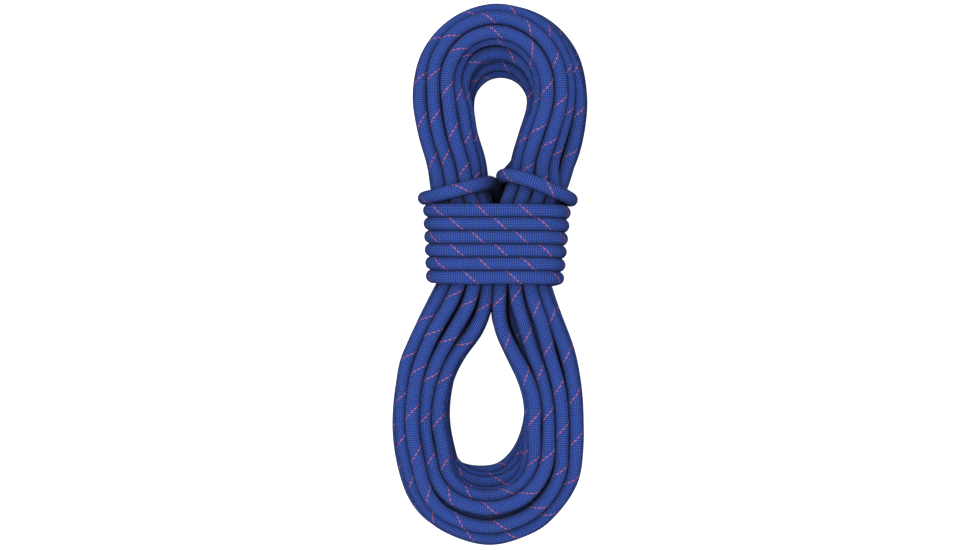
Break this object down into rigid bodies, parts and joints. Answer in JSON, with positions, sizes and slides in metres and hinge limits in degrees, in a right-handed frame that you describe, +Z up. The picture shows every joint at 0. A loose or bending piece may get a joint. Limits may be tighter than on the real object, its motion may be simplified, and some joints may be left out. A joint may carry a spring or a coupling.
{
  "type": "dynamic climbing rope",
  "caption": "Round braided rope with a core, tied as a hank with two eyes, tight wraps round its waist and a lock loop.",
  "frame": {"origin": "on the surface that the hank lies on, under the middle of its bounding box", "axes": "+Y along the hank from its larger, lower loop to its upper eye, +X across it, +Z up from the surface"},
  "size_m": [0.1402, 0.3956, 0.0816],
  "materials": {
    "sheath": "tight braided polyamide yarn, satin",
    "core": "twisted white polyamide strands",
    "end_sleeve": "blank heat-shrunk sleeve",
    "fused_end": "melted and set polyamide"
  },
  "bodies": {
    "root": {"hank_turns": "sheath", "binding_wraps": "sheath", "lock_loop": "sheath", "start_tail_sheath": "sheath", "start_tail_core": "core", "start_end_sleeve": "end_sleeve", "start_fused_tip": "fused_end", "finish_tail_sheath": "sheath", "finish_tail_core": "core", "finish_end_sleeve": "end_sleeve", "finish_fused_tip": "fused_end"}
  },
  "joints": []
}
